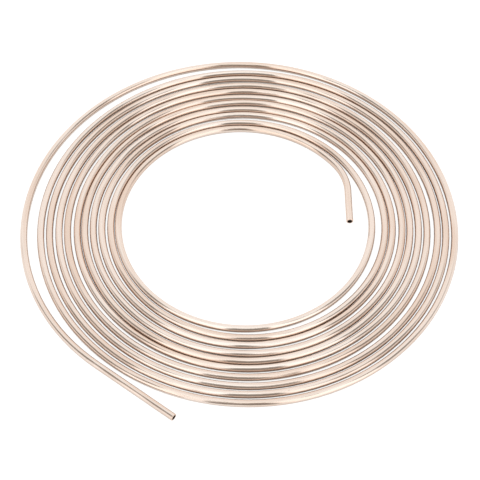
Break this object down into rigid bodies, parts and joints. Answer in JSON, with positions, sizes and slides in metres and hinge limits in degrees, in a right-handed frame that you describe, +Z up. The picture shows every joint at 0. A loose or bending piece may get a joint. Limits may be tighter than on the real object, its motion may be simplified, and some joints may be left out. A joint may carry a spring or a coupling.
{
  "type": "copper tube coil",
  "caption": "Loose flat spiral coil of thin drawn copper tube with both ends cut square and open, raw stock for fluid lines.",
  "frame": {"origin": "middle of the space that the coil covers, on the floor it lies on", "axes": "+Z up through the flat spiral, +Y from the outer end's side to the back, +X to the right as the picture shows it"},
  "size_m": [0.2944, 0.298, 0.0047],
  "materials": {
    "copper_tube": "satin drawn copper, pale pink"
  },
  "bodies": {
    "root": {"copper_tube": "copper_tube"}
  },
  "joints": []
}
